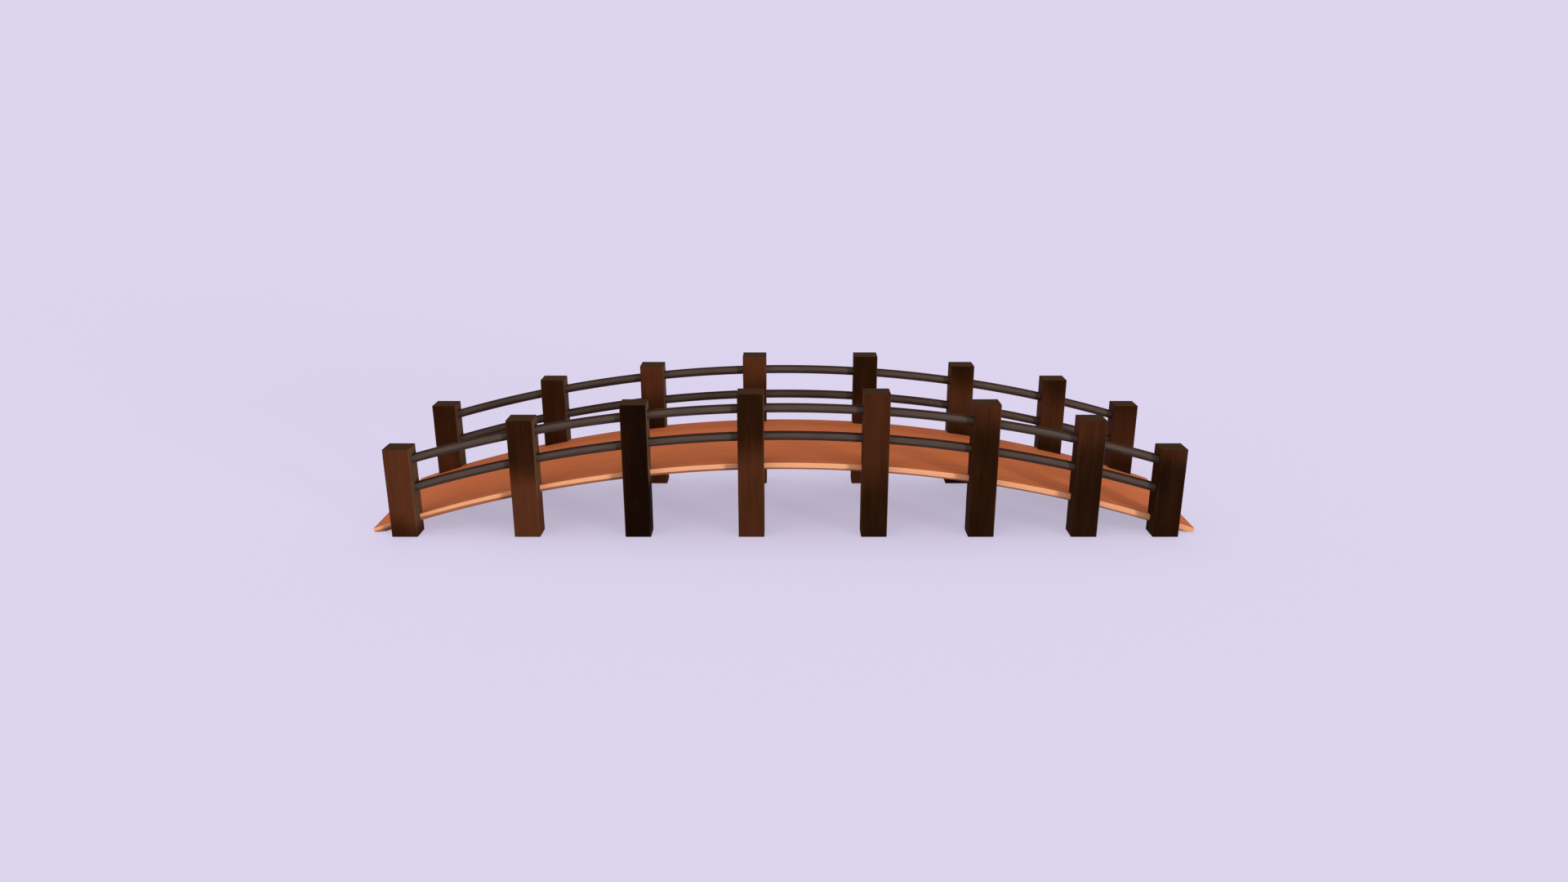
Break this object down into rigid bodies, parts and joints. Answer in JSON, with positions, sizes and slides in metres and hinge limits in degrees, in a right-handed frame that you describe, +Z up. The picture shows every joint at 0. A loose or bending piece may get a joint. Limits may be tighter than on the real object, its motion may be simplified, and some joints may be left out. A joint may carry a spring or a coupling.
{
  "type": "moon bridge",
  "caption": "Low arched timber footbridge: a smooth bowed deck housed in square posts, with two round bowed rails through the posts on each side.",
  "frame": {"origin": "on the ground under the crown, on the centre line of the walkway", "axes": "+X along the bridge, +Y across it to the rear side, +Z up"},
  "size_m": [6.42, 1.374, 1.144],
  "materials": {
    "deck_wood": "smooth orange-brown stain, satin",
    "post_wood": "sawn timber, dark brown stain, uneven",
    "rail_wood": "round poles, dark grey-brown stain, satin"
  },
  "bodies": {
    "root": {"deck": "deck_wood", "front_post_1": "post_wood", "front_post_2": "post_wood", "front_post_3": "post_wood", "front_post_4": "post_wood", "front_post_5": "post_wood", "front_post_6": "post_wood", "front_post_7": "post_wood", "front_post_8": "post_wood", "rear_post_1": "post_wood", "rear_post_2": "post_wood", "rear_post_3": "post_wood", "rear_post_4": "post_wood", "rear_post_5": "post_wood", "rear_post_6": "post_wood", "rear_post_7": "post_wood", "rear_post_8": "post_wood", "front_lower_rail": "rail_wood", "front_upper_rail": "rail_wood", "rear_lower_rail": "rail_wood", "rear_upper_rail": "rail_wood"}
  },
  "joints": []
}
